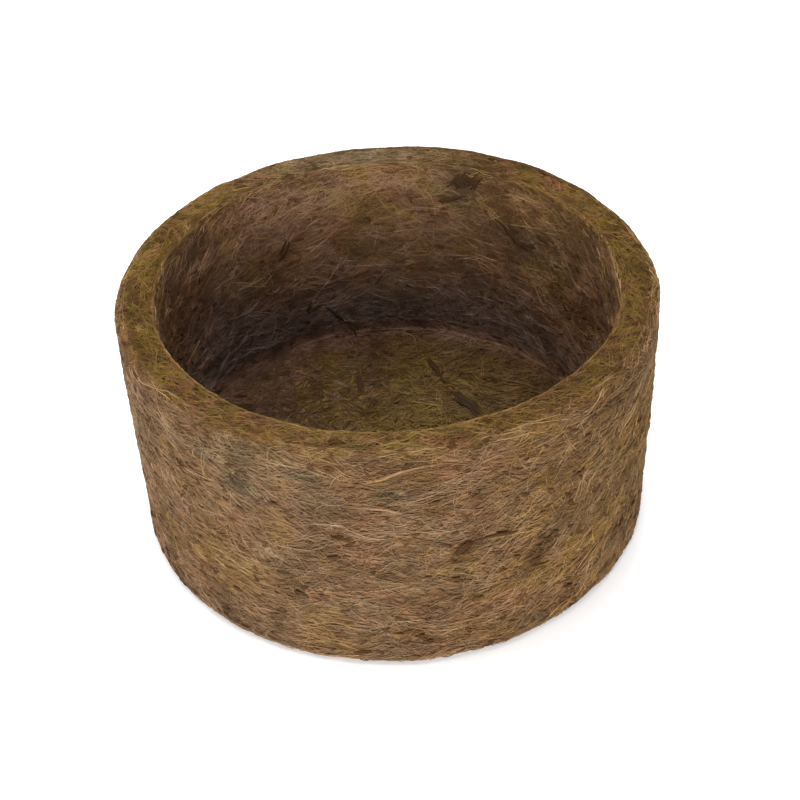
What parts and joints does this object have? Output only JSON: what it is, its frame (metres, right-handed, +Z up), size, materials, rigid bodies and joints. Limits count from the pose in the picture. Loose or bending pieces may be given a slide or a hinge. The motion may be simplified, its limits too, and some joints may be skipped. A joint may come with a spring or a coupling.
{
  "type": "coir plant pot",
  "caption": "Round open-topped plant pot pressed from plies of coconut-fibre felt, with a thick wall, a rounded rim and a flat padded floor.",
  "frame": {"origin": "middle of the underside, on the ground", "axes": "+Z up along the pot's axis, +Y towards the back, where the outer seam is"},
  "size_m": [0.1998, 0.1998, 0.1],
  "materials": {
    "wall_felt": "coarse matted coir felt, pinkish brown, dull",
    "rim_batt": "cut edge of a coarse coir batt, mustard brown, dull",
    "lining_felt": "matted coir felt, reddish brown, dull",
    "floor_felt": "fine matted coir felt, olive brown, dull"
  },
  "bodies": {
    "root": {"outer_wall_sheet": "wall_felt", "core_wall_batt": "rim_batt", "inner_wall_sheet": "lining_felt", "base_outer_disc": "wall_felt", "base_core_disc": "rim_batt", "base_inner_disc": "lining_felt", "floor_pad": "floor_felt"}
  },
  "joints": []
}
